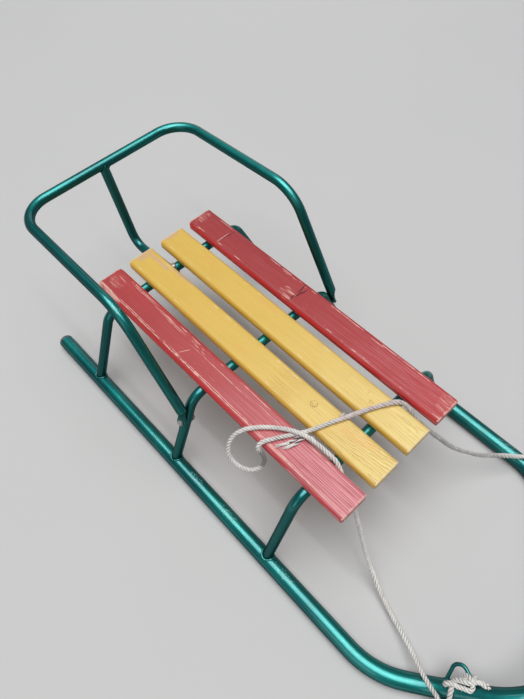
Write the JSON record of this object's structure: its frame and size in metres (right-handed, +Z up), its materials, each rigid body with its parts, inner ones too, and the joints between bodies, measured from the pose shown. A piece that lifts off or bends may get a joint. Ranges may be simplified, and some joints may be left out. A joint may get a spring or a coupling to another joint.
{
  "type": "childrens sled",
  "caption": "Tubular steel snow sled with slatted wooden seat, bent-tube backrest, long runners joined by a rounded front bow, and a tow rope.",
  "frame": {"origin": "on the ground, at the middle of the whole length and width", "axes": "+X forward to the bow, +Y to the rider's left, +Z up"},
  "size_m": [0.9793, 0.4485, 0.3039],
  "materials": {
    "frame_paint": "metallic teal enamel, chipped and worn",
    "red_slat": "red paint on wood, worn pale at the edges",
    "yellow_slat": "yellow paint on wood, grain showing",
    "bare_steel": "dull zinc with a little rust",
    "plug": "dark grey plastic",
    "rope": "worn off-white three-strand rope"
  },
  "bodies": {
    "root": {"backrest_loop": "frame_paint", "backrest_strut": "frame_paint", "end_plug_left": "plug", "end_plug_right": "plug", "foot_welds_front": "frame_paint", "foot_welds_middle": "frame_paint", "foot_welds_rear": "frame_paint", "hoop_front": "frame_paint", "hoop_middle": "frame_paint", "hoop_rear": "frame_paint", "loop_bolt_left": "bare_steel", "loop_bolt_right": "bare_steel", "rope_knot_left": "rope", "rope_knot_right": "rope", "runner_tube": "frame_paint", "slat_left_inner": "yellow_slat", "slat_left_outer": "red_slat", "slat_right_inner": "yellow_slat", "slat_right_outer": "red_slat", "slat_screws_front": "bare_steel", "slat_screws_middle": "bare_steel", "slat_screws_rear": "bare_steel", "strut_bolt": "bare_steel", "tow_eye_left": "frame_paint", "tow_eye_right": "frame_paint", "tow_rope": "rope"}
  },
  "joints": []
}
